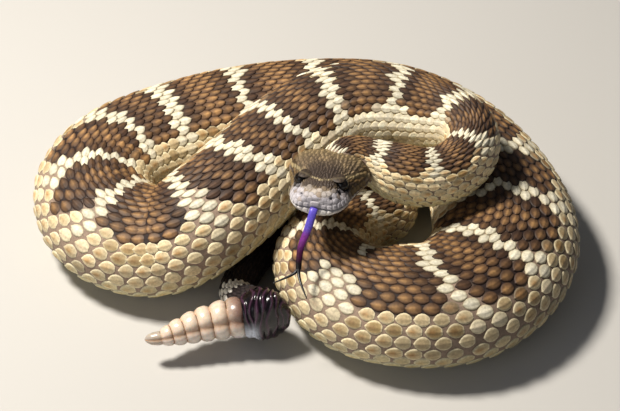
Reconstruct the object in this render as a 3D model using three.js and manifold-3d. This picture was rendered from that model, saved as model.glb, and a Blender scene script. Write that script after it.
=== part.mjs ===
// A coiled rattlesnake at life size, lying on flat ground with its head raised
// over its coils and its tongue out. Millimetres, +Z up, snout towards -Y.
import * as THREE from "three";
import { mergeVertices } from "three/addons/utils/BufferGeometryUtils.js";
import Module from "manifold-3d";

const wasm = await Module();
wasm.setup();

// Driving dimensions
const GAP = 0.3; // space left between neighbouring pieces
const SIDES = 24; // flat faces around the body
const STEP = 6.8; // distance between cross-sections along the body
const HEAD_TIP = [3.0, -37.0, 66.5]; // front of the mouth line
const HEAD_YAW = 77; // degrees, the way from snout to nape seen from above
const HEAD_PITCH = 11; // degrees, snout up
const MOUTH_END = 25.5; // corner of the mouth behind the snout
const EYE_BACK = 12.8; // eye centre behind the snout
const EYE_SIDE = 8.7;
const EYE_UP = 5.6;
const EYE_RADIUS = 2.9;
const DARK_BEADS = 4; // beads at the root of the rattle
const TONGUE_WIDTH = 1.7;

// The body line from the nape to the root of the rattle:
// x, y, height of the belly over the ground, half width, half height
const BODY = {
  nape: [9.0, -8.5, 55.0, 7.2, 6.8],
  neck_root: [17, 0.1, 53.7, 9.2, 9.0],
  neck_a: [26.5, 0.6, 50.6, 10.0, 9.9],
  neck_b: [38, -2.6, 43.6, 12.2, 13.3],
  neck_c: [52, -3.2, 40.2, 12.2, 13.8],
  neck_turn_a: [65, 2.2, 40.8, 12.4, 14.2],
  neck_turn_b: [71.8, 12.6, 42.2, 13.0, 14.9],
  neck_turn_c: [68.8, 24.6, 43.2, 14.1, 15.2],
  upper_a: [58.2, 33.6, 39.6, 16.6, 16.9],
  upper_b: [41.5, 40.6, 36.8, 20.2, 18.8],
  upper_c: [19.5, 42.8, 34.2, 23.0, 20.0],
  ramp_a: [0.5, 34.5, 29.0, 24.6, 21.0],
  ramp_b: [-15.5, 21, 23.2, 25.4, 21.3],
  ramp_c: [-30.5, 4.5, 18.4, 26.0, 21.5],
  left_a: [-46.8, -7.8, 11.5, 26.6, 21.5],
  left_b: [-65, -9.5, 1.5, 28.3, 21.5],
  left_turn_a: [-84, -2.2, 0, 28.5, 21.5],
  left_turn_b: [-95, 14.8, 0, 28.5, 21.5],
  left_turn_c: [-94, 35, 0, 28.5, 21.5],
  rear_a: [-82, 51.5, 0, 28.5, 21.5],
  rear_b: [-63.5, 63, 0, 28.5, 21.5],
  rear_c: [-42, 72.5, 0, 28.5, 21.5],
  rear_d: [-17.5, 79.5, 0, 28.0, 21.5],
  rear_e: [11, 83, 0, 27.0, 21.5],
  rear_f: [39, 80, 0, 26.5, 21.5],
  rear_g: [64, 62.5, 0, 28.0, 21.5],
  right_a: [80.5, 36.5, 0, 29.5, 21.5],
  right_b: [87.2, 10, 0, 32.4, 21.5],
  right_c: [86.2, -14.5, 0, 33.2, 21.5],
  right_d: [74.6, -35.4, 0, 32.6, 21.5],
  front_a: [59.2, -45.8, 0, 31.6, 21.5],
  front_b: [42, -47.8, 0, 29.8, 21.5],
  front_c: [26.6, -45.0, 0, 27.9, 21.2],
  inner_turn_a: [13.8, -35.3, 0, 25.2, 20.6],
  inner_turn_b: [7.5, -17.5, 0, 23.0, 19.0],
  inner_turn_c: [13.2, 0.2, 0, 19.9, 17.0],
  inner_a: [25.6, 11.8, 0, 17.4, 15.1],
  inner_b: [36.4, 18.4, 0, 14.3, 13.5],
  hidden_turn: [39.2, 31, 0, 11.5, 12.0],
  hidden_a: [29.5, 40.9, 0, 10.7, 11.0],
  hidden_b: [14.5, 39.5, 0, 10.0, 10.3],
  hidden_c: [-3.0, 27.8, 0, 9.6, 9.8],
  tail_a: [-15.0, 11.5, 0, 9.0, 9.2],
  tail_b: [-22.5, -4.5, 0, 8.5, 8.6],
  tail_c: [-28.2, -17.3, 0, 8.2, 8.2],
  tail_d: [-31.0, -27.4, 0.4, 8.3, 8.1],
  tail_e: [-28.0, -35.2, 2.4, 8.4, 8.3],
  tail_end: [-21, -40.5, 5.6, 8.4, 8.4],
};

// Lengths of the body, each from one named place to the next
const LENGTHS = [
  ["neck", "nape", "neck_turn_a"],
  ["neck_bend", "neck_turn_a", "upper_a"],
  ["upper_coil", "upper_a", "ramp_a"],
  ["sloping_coil", "ramp_a", "left_a"],
  ["left_coil_front", "left_a", "left_turn_b"],
  ["left_coil_back", "left_turn_b", "rear_b"],
  ["rear_coil", "rear_b", "rear_e"],
  ["rear_coil_right", "rear_e", "right_a"],
  ["right_coil", "right_a", "right_d"],
  ["front_coil", "right_d", "front_c"],
  ["inner_coil_turn", "front_c", "inner_turn_c"],
  ["inner_coil", "inner_turn_c", "hidden_turn"],
  ["hind_body", "hidden_turn", "hidden_c"],
  ["tail_base", "hidden_c", "tail_b"],
  ["tail", "tail_b", "tail_end"],
];

// Head cross-sections: distance behind the snout, half width at the lips, height of
// the crown and depth of the chin from the mouth line, how far the sides lean in
const HEAD = [
  [0.0, 5.0, 3.6, 2.6, 0.1],
  [1.0, 8.2, 5.8, 4.2, 0.16],
  [3.5, 11.0, 7.4, 5.6, 0.22],
  [8.0, 13.0, 8.8, 6.8, 0.26],
  [12.5, 13.7, 9.4, 7.4, 0.26],
  [18.0, 14.8, 9.9, 8.2, 0.2],
  [24.0, 16.8, 10.2, 8.8, 0.14],
  [29.5, 18.2, 10.0, 9.2, 0.1],
  [34.0, 17.4, 9.2, 9.0, 0.08],
  [37.0, 14.4, 7.6, 8.0, 0.06],
  [39.3, 9.6, 5.0, 6.0, 0.04],
  [40.6, 4.8, 2.4, 3.0, 0.02],
];

// The rattle's axis at its root, at each joint between beads and at its tip:
// x, y, z, half thickness, half height
const RATTLE = [
  [-7.0, -52.0, 17.0, 1.9, 4.6],
  [-11.4, -51.0, 17.2, 5.1, 11.4],
  [-16.4, -50.1, 17.2, 9.1, 13.2],
  [-21.6, -49.4, 17.0, 9.8, 12.8],
  [-27.2, -50.6, 16.5, 8.8, 10.0],
  [-33.6, -51.4, 16.0, 8.5, 9.1],
  [-40.4, -53.0, 15.4, 7.8, 8.3],
  [-46.4, -54.5, 14.9, 7.2, 7.6],
  [-52.3, -56.8, 14.4, 6.1, 6.5],
  [-57.4, -58.8, 14.0, 4.9, 5.2],
  [-61.7, -60.4, 13.7, 3.4, 3.6],
  [-68.6, -61.2, 13.4, 2.0, 2.2],
];

// The tongue from the mouth to the fork, and its two tips
const TONGUE_STEM = [
  [3.0, -36.2, 66.1, 1.0],
  [2.4, -38.2, 65.2, 1.0],
  [1.0, -40.6, 61.0, 1.0],
  [-0.6, -42.4, 56.5, 0.95],
  [-2.5, -45.0, 52.0, 0.85],
  [-3.4, -49.6, 47.0, 0.75],
  [-3.5, -51.8, 45.4, 0.7],
];
const TONGUE_LEFT = [
  [-3.4, -50.6, 46.2, 0.62],
  [-4.6, -52.4, 45.0, 0.5],
  [-8.3, -54.3, 43.8, 0.38],
  [-14.2, -56.4, 42.4, 0.16],
];
const TONGUE_RIGHT = [
  [-3.4, -50.6, 46.2, 0.62],
  [-3.4, -53.4, 44.9, 0.5],
  [-2.5, -57.8, 43.6, 0.38],
  [0.0, -64.6, 41.4, 0.16],
];

const COLOURS = {
  head: 0x6e5f4b, jaw: 0xc8beb4, eye: 0x14100c, tongue: 0x4a3a9a,
  body: 0x9a7748, tail: 0x3a322a, rattle_dark: 0x2d1928, rattle_pale: 0xe1c8af,
};

// Natural cubic spline through rows of numbers; the first three columns set the spacing
function splineThrough(rows) {
  const n = rows.length;
  const width = rows[0].length;
  const t = [0];
  for (let i = 1; i < n; i++) {
    const d = Math.hypot(
      rows[i][0] - rows[i - 1][0], rows[i][1] - rows[i - 1][1], rows[i][2] - rows[i - 1][2]);
    t.push(t[i - 1] + Math.sqrt(d));
  }
  const bend = rows.map(() => new Array(width).fill(0));
  for (let k = 0; k < width; k++) {
    const c = new Array(n).fill(0);
    const r = new Array(n).fill(0);
    for (let i = 1; i < n - 1; i++) {
      const h0 = t[i] - t[i - 1];
      const h1 = t[i + 1] - t[i];
      const slope = (rows[i + 1][k] - rows[i][k]) / h1 - (rows[i][k] - rows[i - 1][k]) / h0;
      const m = 2 * (h0 + h1) - h0 * c[i - 1];
      c[i] = h1 / m;
      r[i] = (6 * slope - h0 * r[i - 1]) / m;
    }
    for (let i = n - 2; i > 0; i--) bend[i][k] = r[i] - c[i] * bend[i + 1][k];
  }
  const at = (u) => {
    let i = 0;
    while (i < n - 2 && u > t[i + 1]) i++;
    const h = t[i + 1] - t[i];
    const a = (t[i + 1] - u) / h;
    const b = (u - t[i]) / h;
    return rows[i].map((v, k) => a * v + b * rows[i + 1][k]
      + ((a ** 3 - a) * bend[i][k] + (b ** 3 - b) * bend[i + 1][k]) * h * h / 6);
  };
  return { t, at, end: t[n - 1] };
}

const bodySpline = splineThrough(Object.values(BODY));

function bodyAt(u) {
  const [x, y, lift, a, b] = bodySpline.at(u);
  return { p: new THREE.Vector3(x, y, Math.max(0, lift) + b), lift: Math.max(0, lift), a, b };
}

// Table of distance along the body line
const FINE = 3000;
const distance = [0];
for (let i = 1; i <= FINE; i++) {
  const p = bodyAt(bodySpline.end * (i - 1) / FINE).p;
  const q = bodyAt(bodySpline.end * i / FINE).p;
  distance.push(distance[i - 1] + p.distanceTo(q));
}

function paramAt(s) {
  let lo = 0;
  let hi = FINE;
  while (hi - lo > 1) {
    const mid = (lo + hi) >> 1;
    if (distance[mid] > s) hi = mid;
    else lo = mid;
  }
  const f = (s - distance[lo]) / (distance[hi] - distance[lo]);
  return bodySpline.end * (lo + f) / FINE;
}

function distanceTo(name) {
  const u = bodySpline.t[Object.keys(BODY).indexOf(name)];
  const i = Math.min(FINE - 1, Math.floor(u / bodySpline.end * FINE));
  const f = u / bodySpline.end * FINE - i;
  return distance[i] + f * (distance[i + 1] - distance[i]);
}

// One cross-section: round above, flatter under the belly. angle 0 is the back.
function bodyOutline(angle, a, b) {
  const c = Math.cos(angle);
  const under = Math.min(1, 1.08 * Math.abs(c) ** 0.9);
  return [a * Math.sin(angle), c > 0 ? b * c : -b * under];
}

// Cross-sections stand upright on the ground and square to the body where it is raised
function bodyRing(s, sides) {
  const u = paramAt(s);
  const here = bodyAt(u);
  const along = bodyAt(Math.min(bodySpline.end, u + 0.02)).p
    .sub(bodyAt(Math.max(0, u - 0.02)).p).normalize();
  const raised = Math.min(1, here.lift / 4);
  along.z *= raised * raised * (3 - 2 * raised);
  along.normalize();
  const side = new THREE.Vector3().crossVectors(along, new THREE.Vector3(0, 0, 1)).normalize();
  const up = new THREE.Vector3().crossVectors(side, along);
  const ring = [];
  for (let k = 0; k < sides; k++) {
    const [x, z] = bodyOutline(2 * Math.PI * k / sides, here.a, here.b);
    ring.push(here.p.clone().addScaledVector(side, x).addScaledVector(up, z));
  }
  return ring;
}

// Closed surface over a run of rings with flat ends
function loft(rings) {
  const sides = rings[0].length;
  const points = rings.flat();
  const faces = [];
  for (let i = 0; i + 1 < rings.length; i++) {
    for (let k = 0; k < sides; k++) {
      const a = i * sides + k;
      const b = i * sides + (k + 1) % sides;
      faces.push(a, b, b + sides, a, b + sides, a + sides);
    }
  }
  const last = (rings.length - 1) * sides;
  for (let k = 1; k < sides - 1; k++) {
    faces.push(0, k + 1, k);
    faces.push(last, last + k, last + k + 1);
  }
  const shape = new THREE.BufferGeometry();
  shape.setAttribute("position", new THREE.Float32BufferAttribute(points.flatMap((p) => p.toArray()), 3));
  shape.setIndex(faces);
  return shape;
}

function solid(shape) {
  const g = shape.clone();
  g.deleteAttribute("normal");
  g.deleteAttribute("uv");
  const m = mergeVertices(g, 1e-5);
  return new wasm.Manifold(new wasm.Mesh({
    numProp: 3,
    vertProperties: new Float32Array(m.attributes.position.array),
    triVerts: new Uint32Array(m.index.array),
  }));
}

// Keeps the largest closed surface of a cut or joined piece
function shapeOf(body) {
  const pieces = body.decompose().sort((p, q) => q.volume() - p.volume());
  const mesh = pieces[0].getMesh();
  const shape = new THREE.BufferGeometry();
  shape.setAttribute("position", new THREE.Float32BufferAttribute(mesh.vertProperties, 3));
  shape.setIndex(Array.from(mesh.triVerts));
  return shape;
}

const snake = new THREE.Group();

function place(name, shape, colour, roughness = 0.6) {
  const flat = shape.toNonIndexed();
  flat.computeVertexNormals();
  const mesh = new THREE.Mesh(flat, new THREE.MeshStandardMaterial({ color: colour, roughness }));
  mesh.name = name;
  snake.add(mesh);
}

// The head's own axes: back from the snout, sideways towards +X, and up
const yaw = THREE.MathUtils.degToRad(HEAD_YAW);
const pitch = THREE.MathUtils.degToRad(HEAD_PITCH);
const headBack = new THREE.Vector3(
  Math.cos(yaw) * Math.cos(pitch), Math.sin(yaw) * Math.cos(pitch), -Math.sin(pitch));
const headRight = new THREE.Vector3(Math.sin(yaw), -Math.cos(yaw), 0);
const headUp = new THREE.Vector3().crossVectors(headRight, headBack);
const headTip = new THREE.Vector3(...HEAD_TIP);

function headPoint(back, right, up) {
  return headTip.clone().addScaledVector(headBack, back)
    .addScaledVector(headRight, right).addScaledVector(headUp, up);
}

function headOutline(angle, w, top, bottom, lean) {
  const c = Math.cos(angle);
  const s = Math.sin(angle);
  const x = w * Math.sign(s) * Math.abs(s) ** 0.8;
  const z = (c > 0 ? top : bottom) * Math.sign(c) * Math.abs(c) ** 0.8;
  return [c > 0 ? x * (1 - lean * c ** 0.6) : x * (1 - 0.12 * Math.abs(c)), z];
}

function headForm(grow, shrinkWidth = 0, sides = 32) {
  const rings = HEAD.map(([back, w, top, bottom, lean]) => {
    const ring = [];
    for (let k = 0; k < sides; k++) {
      const [x, z] = headOutline(
        2 * Math.PI * k / sides, w + grow - shrinkWidth, top + grow, bottom + grow, lean);
      ring.push(headPoint(back + (back > 20 ? grow : -grow), x, z));
    }
    return ring;
  });
  return solid(loft(rings));
}

function headBox(back0, back1, right, up0, up1) {
  const box = new THREE.BoxGeometry(2 * right, back1 - back0, up1 - up0);
  const axes = new THREE.Matrix4().makeBasis(headRight, headBack, headUp);
  box.applyMatrix4(axes);
  const centre = headPoint((back0 + back1) / 2, 0, (up0 + up1) / 2);
  box.translate(centre.x, centre.y, centre.z);
  return solid(box);
}

function headBall(back, right, up, rBack, rRight, rUp, wide = 14, high = 10) {
  const ball = new THREE.SphereGeometry(1, wide, high);
  ball.scale(rRight, rBack, rUp);
  ball.applyMatrix4(new THREE.Matrix4().makeBasis(headRight, headBack, headUp));
  const centre = headPoint(back, right, up);
  ball.translate(centre.x, centre.y, centre.z);
  return ball;
}

// Head above the mouth, with brow shields, eye sockets, pits and nostrils
let head = headForm(0).subtract(headBox(-5, MOUTH_END, 30, -30, 0));
for (const side of [-1, 1]) {
  head = head.add(solid(headBall(EYE_BACK - 0.4, side * 7.6, 7.9, 5.0, 2.7, 1.5, 16, 8)));
}
for (const side of [-1, 1]) {
  const r = EYE_RADIUS + GAP;
  head = head.subtract(solid(headBall(EYE_BACK, side * EYE_SIDE, EYE_UP, r, r, r, 16, 12)));
  head = head.subtract(solid(headBall(7.4, side * 10.6, 3.6, 1.1, 1.3, 1.0, 8, 6)));
  head = head.subtract(solid(headBall(2.1, side * 6.7, 4.3, 0.8, 1.0, 0.6, 8, 6)));
}
head = head.subtract(headBox(-3, 4.5, 2.1, -1, 1.0));
place("head", shapeOf(head), COLOURS.head);

let jaw = headForm(0, 0.5).intersect(headBox(0.6, MOUTH_END - GAP, 30, -30, -GAP));
jaw = jaw.subtract(headBox(-3, 4.5, 2.1, -2.0, 1.0));
place("jaw", shapeOf(jaw), COLOURS.jaw);

for (const [name, side] of [["eye_left", -1], ["eye_right", 1]]) {
  const r = EYE_RADIUS;
  place(name, shapeOf(solid(headBall(EYE_BACK, side * EYE_SIDE, EYE_UP, r, r, r, 16, 12))),
    COLOURS.eye, 0.1);
}

// A flattened rod through rows of x, y, z and thickness
function rod(rows, width, steps, sides = 8) {
  const line = splineThrough(rows);
  const rings = [];
  for (let i = 0; i <= steps; i++) {
    const u = line.end * i / steps;
    const here = line.at(u);
    const p = new THREE.Vector3(here[0], here[1], here[2]);
    const a = line.at(Math.max(0, u - 0.01));
    const b = line.at(Math.min(line.end, u + 0.01));
    const along = new THREE.Vector3(b[0] - a[0], b[1] - a[1], b[2] - a[2]).normalize();
    const side = new THREE.Vector3().crossVectors(along, new THREE.Vector3(0, -0.5, 1)).normalize();
    const up = new THREE.Vector3().crossVectors(side, along);
    const ring = [];
    for (let k = 0; k < sides; k++) {
      const angle = 2 * Math.PI * k / sides;
      ring.push(p.clone().addScaledVector(side, Math.sin(angle) * here[3] * width)
        .addScaledVector(up, Math.cos(angle) * here[3] * 0.8));
    }
    rings.push(ring);
  }
  return loft(rings);
}

const tongue = solid(rod(TONGUE_STEM, TONGUE_WIDTH, 14))
  .add(solid(rod(TONGUE_LEFT, 1.2, 8, 6)))
  .add(solid(rod(TONGUE_RIGHT, 1.2, 8, 6)));
place("tongue", shapeOf(tongue), COLOURS.tongue, 0.3);

// Rattle: a row of two-lobed beads, each a little smaller than the one before
const rattleSpline = splineThrough(RATTLE);

function rattleRing(u, swell, grow = 0, sides = 16) {
  const [x, y, z, thick, high] = rattleSpline.at(u);
  const a = rattleSpline.at(Math.max(0, u - 0.05));
  const b = rattleSpline.at(Math.min(rattleSpline.end, u + 0.05));
  const along = new THREE.Vector3(b[0] - a[0], b[1] - a[1], b[2] - a[2]).normalize();
  const side = new THREE.Vector3().crossVectors(along, new THREE.Vector3(0, 0, 1)).normalize();
  const up = new THREE.Vector3().crossVectors(side, along);
  const ring = [];
  for (let k = 0; k < sides; k++) {
    const angle = 2 * Math.PI * k / sides;
    const waist = 1 - 0.16 * Math.abs(Math.sin(angle)) ** 6;
    ring.push(new THREE.Vector3(x, y, z)
      .addScaledVector(side, Math.sin(angle) * (thick * swell + grow) * waist)
      .addScaledVector(up, Math.cos(angle) * (high * swell + grow)));
  }
  return ring;
}

for (let i = 0; i < RATTLE.length - 1; i++) {
  const from = rattleSpline.t[i] + 0.05;
  const to = rattleSpline.t[i + 1] - 0.05;
  const rings = [[0, 0.86], [0.16, 0.97], [0.45, 1.0], [0.72, 0.94], [1, 0.8]]
    .map(([f, swell]) => rattleRing(from + f * (to - from), swell));
  const dark = i < DARK_BEADS;
  place(`rattle_${i + 1}`, loft(rings), dark ? COLOURS.rattle_dark : COLOURS.rattle_pale, 0.35);
}
const rattleRoot = solid(loft([0, 0.06, 0.12, 0.18, 0.24, 0.3, 0.36, 0.42, 0.5]
  .map((f) => rattleRing(rattleSpline.end * f, 1, GAP + 0.1))));

// Lengths of neck, body and tail, joined end to end
const headClear = headForm(GAP + 0.05);
for (const [name, first, last] of LENGTHS) {
  const s0 = distanceTo(first) + (first === "nape" ? 0 : GAP / 2);
  const s1 = distanceTo(last) - (last === "tail_end" ? 0 : GAP / 2);
  const count = Math.max(3, Math.round((s1 - s0) / STEP));
  const rings = [];
  for (let i = 0; i <= count; i++) rings.push(bodyRing(s0 + (s1 - s0) * i / count, SIDES));
  let length = loft(rings);
  if (name === "neck") length = shapeOf(solid(length).subtract(headClear));
  if (name === "tail") length = shapeOf(solid(length).subtract(rattleRoot));
  place(name, length, name.startsWith("tail") ? COLOURS.tail : COLOURS.body);
}

// The origin is on the ground under the middle of the whole snake
const outline = new THREE.Box3().setFromObject(snake, true);
snake.position.set(-(outline.min.x + outline.max.x) / 2, -(outline.min.y + outline.max.y) / 2, 0);
const model = new THREE.Group();
model.add(snake);

export default model;
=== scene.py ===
import math

import bpy
import numpy as np
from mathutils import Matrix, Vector


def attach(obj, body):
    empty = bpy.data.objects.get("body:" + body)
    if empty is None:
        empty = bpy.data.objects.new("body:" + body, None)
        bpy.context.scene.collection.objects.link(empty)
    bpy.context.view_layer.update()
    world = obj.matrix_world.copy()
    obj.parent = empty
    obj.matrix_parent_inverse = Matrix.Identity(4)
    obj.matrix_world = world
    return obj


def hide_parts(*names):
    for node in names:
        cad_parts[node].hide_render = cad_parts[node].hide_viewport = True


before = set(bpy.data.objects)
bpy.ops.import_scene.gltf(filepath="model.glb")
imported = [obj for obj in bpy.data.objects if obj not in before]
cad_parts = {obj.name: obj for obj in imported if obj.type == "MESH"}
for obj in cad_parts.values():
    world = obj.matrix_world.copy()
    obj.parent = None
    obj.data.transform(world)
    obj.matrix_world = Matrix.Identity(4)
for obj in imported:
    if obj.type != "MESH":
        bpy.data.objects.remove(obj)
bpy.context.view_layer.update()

# Driving dimensions
SHIFT = np.array([1.81, -15.96, 0.0])
SKIN_DEPTH = 1.15  # the skin lies this far inside the solids, under the scales
SCALE_TOP = 0.3  # the scales' highest points stay this far inside the solids
SCALE_LENGTH = 5.55  # distance between scales along a row at mid-body
ROWS = 25  # rows of scales across the back and flanks
ROW_EVEN = 0.63  # 1 would space the rows evenly; less widens them towards the belly
MID_BODY = (29.0, 21.5)  # half width and half height that the rows are spaced for
TAIL_ROWS = 17
TAIL_FROM = 770  # where the tail's rows begin
BELLY_EDGE = math.radians(140)  # where the wide belly scales begin
DARK_BEADS = 4
GROOVE_TURN = math.radians(-62)  # groove between the two lobes of a bead, from its top
HEAD_TIP = np.array([3.0, -37.0, 66.5])
HEAD_YAW = math.radians(77)
HEAD_PITCH = math.radians(11)

# Places on the head: distance behind the snout, distance from its middle, height
HEAD_MIDDLE = np.array([17.0, 0.0, 0.6])
HEAD_INSET = -0.75  # the head's skin lies this far inside its solids
HEAD_SPAN = 48.0  # more than the head's length
EYE = np.array([12.8, 8.7, 5.6])
EYE_RADIUS = 2.9
NOSTRIL = np.array([2.2, 6.6, 4.2])
PIT_BACK = 7.7
PIT_UP = 3.9
MOUTH_END = 25.5
MOUTH_UP = -0.45
BROW_CENTRE = np.array([12.4, 7.6, 7.9])
BROW_FRONT_IN_UNDER = np.array([3.1, 4.0, 0.6])
BROW_BACK_OUT_TOP = np.array([5.0, 2.7, 1.4])

# The body line from nape to rattle: x, y, height of the belly over the ground,
# half width, half height
BODY = {
    "nape": (9.0, -8.5, 55.0, 7.2, 6.8),
    "neck_root": (17, 0.1, 53.7, 9.2, 9.0),
    "neck_a": (26.5, 0.6, 50.6, 10.0, 9.9),
    "neck_b": (38, -2.6, 43.6, 12.2, 13.3),
    "neck_c": (52, -3.2, 40.2, 12.2, 13.8),
    "neck_turn_a": (65, 2.2, 40.8, 12.4, 14.2),
    "neck_turn_b": (71.8, 12.6, 42.2, 13.0, 14.9),
    "neck_turn_c": (68.8, 24.6, 43.2, 14.1, 15.2),
    "upper_a": (58.2, 33.6, 39.6, 16.6, 16.9),
    "upper_b": (41.5, 40.6, 36.8, 20.2, 18.8),
    "upper_c": (19.5, 42.8, 34.2, 23.0, 20.0),
    "ramp_a": (0.5, 34.5, 29.0, 24.6, 21.0),
    "ramp_b": (-15.5, 21, 23.2, 25.4, 21.3),
    "ramp_c": (-30.5, 4.5, 18.4, 26.0, 21.5),
    "left_a": (-46.8, -7.8, 11.5, 26.6, 21.5),
    "left_b": (-65, -9.5, 1.5, 28.3, 21.5),
    "left_turn_a": (-84, -2.2, 0, 28.5, 21.5),
    "left_turn_b": (-95, 14.8, 0, 28.5, 21.5),
    "left_turn_c": (-94, 35, 0, 28.5, 21.5),
    "rear_a": (-82, 51.5, 0, 28.5, 21.5),
    "rear_b": (-63.5, 63, 0, 28.5, 21.5),
    "rear_c": (-42, 72.5, 0, 28.5, 21.5),
    "rear_d": (-17.5, 79.5, 0, 28.0, 21.5),
    "rear_e": (11, 83, 0, 27.0, 21.5),
    "rear_f": (39, 80, 0, 26.5, 21.5),
    "rear_g": (64, 62.5, 0, 28.0, 21.5),
    "right_a": (80.5, 36.5, 0, 29.5, 21.5),
    "right_b": (87.2, 10, 0, 32.4, 21.5),
    "right_c": (86.2, -14.5, 0, 33.2, 21.5),
    "right_d": (74.6, -35.4, 0, 32.6, 21.5),
    "front_a": (59.2, -45.8, 0, 31.6, 21.5),
    "front_b": (42, -47.8, 0, 29.8, 21.5),
    "front_c": (26.6, -45.0, 0, 27.9, 21.2),
    "inner_turn_a": (13.8, -35.3, 0, 25.2, 20.6),
    "inner_turn_b": (7.5, -17.5, 0, 23.0, 19.0),
    "inner_turn_c": (13.2, 0.2, 0, 19.9, 17.0),
    "inner_a": (25.6, 11.8, 0, 17.4, 15.1),
    "inner_b": (36.4, 18.4, 0, 14.3, 13.5),
    "hidden_turn": (39.2, 31, 0, 11.5, 12.0),
    "hidden_a": (29.5, 40.9, 0, 10.7, 11.0),
    "hidden_b": (14.5, 39.5, 0, 10.0, 10.3),
    "hidden_c": (-3.0, 27.8, 0, 9.6, 9.8),
    "tail_a": (-15.0, 11.5, 0, 9.0, 9.2),
    "tail_b": (-22.5, -4.5, 0, 8.5, 8.6),
    "tail_c": (-28.2, -17.3, 0, 8.2, 8.2),
    "tail_d": (-31.0, -27.4, 0.4, 8.3, 8.1),
    "tail_e": (-28.0, -35.2, 2.4, 8.4, 8.3),
    "tail_end": (-21, -40.5, 5.6, 8.4, 8.4),
}
LENGTHS = [
    "neck", "neck_bend", "upper_coil", "sloping_coil", "left_coil_front", "left_coil_back",
    "rear_coil", "rear_coil_right", "right_coil", "front_coil", "inner_coil_turn",
    "inner_coil", "hind_body", "tail_base", "tail",
]

# Places of the pale bands along the back, and of the white rings on the tail
BANDS = [
    6, 25, 49, 71, 92, 121, 151, 178, 204, 228, 274, 303, 331, 355, 390, 426, 458, 490,
    531, 557, 592, 626, 661, 690, 724, 754, 782, 804,
]
# Bands that lean: millimetres towards the nape, at the foot of the outer flank
BAND_LEAN = {178: 8, 204: 12, 228: 6, 303: 16, 331: 10, 557: -15, 626: 20}
BAND_HALF = 0.62  # half width in columns of scales
BROKEN_BAND = 22  # number of the band that is missing on the back between these shares
BROKEN_SPAN = (-0.22, 0.16)
WHITE_RINGS = [816, 868, 881]
RING_HALF = 1.05
RINGS_FROM = 812

# Stretches of the body line with a look of their own, as the four places of between()
UPPER_COIL = (78, 92, 160, 180)
INWARD_SIDE = (240, 270, 480, 520)
REAR_COIL = (285, 310, 400, 430)
RIGHT_COIL = (520, 555, 615, 655)
DEEP_BLOTCHES_AND_SHADE = (555, 575, 610, 625)

# How far the blotches reach down the flanks: place along the body, share of the rows
BLOTCH_REACH = np.array([
    (0, 0.50), (60, 0.53), (85, 0.53), (165, 0.54), (205, 0.47)])

# Head: distance behind the snout, half width at the lips, crown, chin, lean of the sides
HEAD = [
    (0.0, 5.0, 3.6, 2.6, 0.1),
    (1.0, 8.2, 5.8, 4.2, 0.16),
    (3.5, 11.0, 7.4, 5.6, 0.22),
    (8.0, 13.0, 8.8, 6.8, 0.26),
    (12.5, 13.7, 9.4, 7.4, 0.26),
    (18.0, 14.8, 9.9, 8.2, 0.2),
    (24.0, 16.8, 10.2, 8.8, 0.14),
    (29.5, 18.2, 10.0, 9.2, 0.1),
    (34.0, 17.4, 9.2, 9.0, 0.08),
    (37.0, 14.4, 7.6, 8.0, 0.06),
    (39.3, 9.6, 5.0, 6.0, 0.04),
    (40.6, 4.8, 2.4, 3.0, 0.02),
]

# Rattle axis at its root, at each joint between beads and at its tip:
# x, y, z, half thickness, half height
RATTLE = [
    (-7.0, -52.0, 17.0, 1.9, 4.6),
    (-11.4, -51.0, 17.2, 5.1, 11.4),
    (-16.4, -50.1, 17.2, 9.1, 13.2),
    (-21.6, -49.4, 17.0, 9.8, 12.8),
    (-27.2, -50.6, 16.5, 8.8, 10.0),
    (-33.6, -51.4, 16.0, 8.5, 9.1),
    (-40.4, -53.0, 15.4, 7.8, 8.3),
    (-46.4, -54.5, 14.9, 7.2, 7.6),
    (-52.3, -56.8, 14.4, 6.1, 6.5),
    (-57.4, -58.8, 14.0, 4.9, 5.2),
    (-61.7, -60.4, 13.7, 3.4, 3.6),
    (-68.6, -61.2, 13.4, 2.0, 2.2),
]

# Tongue: x, y, z and thickness, from the mouth to the fork and out to the two tips
TONGUE_STEM = [
    (3.0, -36.2, 66.1, 1.0), (2.4, -38.2, 65.2, 1.0), (1.0, -40.6, 61.0, 1.0),
    (-0.6, -42.4, 56.5, 0.95), (-2.5, -45.0, 52.0, 0.85), (-3.4, -49.6, 47.0, 0.75),
    (-3.5, -51.8, 45.4, 0.7),
]
TONGUE_LEFT = [
    (-3.4, -50.6, 46.2, 0.62), (-4.6, -52.4, 45.0, 0.5), (-8.3, -54.3, 43.8, 0.38),
    (-14.2, -56.4, 42.4, 0.16),
]
TONGUE_RIGHT = [
    (-3.4, -50.6, 46.2, 0.62), (-3.4, -53.4, 44.9, 0.5), (-2.5, -57.8, 43.6, 0.38),
    (0.0, -64.6, 41.4, 0.16),
]


def rgb(r, g, b):
    """A picture colour as linear light."""
    c = np.array([r, g, b]) / 255.0
    return np.where(c < 0.04045, c / 12.92, ((c + 0.055) / 1.055) ** 2.4)


def kind(*tones):
    """The three colours of one kind of scale: rim, body and spot on the keel."""
    return np.array([rgb(*tone) for tone in tones])


CREAM = kind((168, 156, 128), (210, 202, 178), (222, 215, 194))
BROWN = kind((62, 44, 33), (98, 72, 49), (160, 122, 78))
DARK = kind((46, 32, 26), (56, 39, 29), (82, 58, 40))
TAN = kind((223, 210, 176), (210, 191, 152), (184, 143, 93))
LOW = kind((220, 214, 176), (208, 200, 150), (198, 182, 124))
FRECKLED = kind((220, 206, 168), (156, 128, 78), (130, 96, 54))
WHITE = kind((206, 200, 190), (238, 234, 224), (240, 236, 228))
BLACK = kind((18, 13, 14), (30, 22, 23), (46, 36, 36))
BELLY = rgb(222, 214, 178)
SKIN_PALE = rgb(146, 125, 108)
SKIN_DARK = rgb(38, 25, 22)
SKIN_LOW = rgb(150, 138, 104)
SKIN_UPPER = rgb(206, 188, 146)

rng = np.random.default_rng(7)


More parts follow.
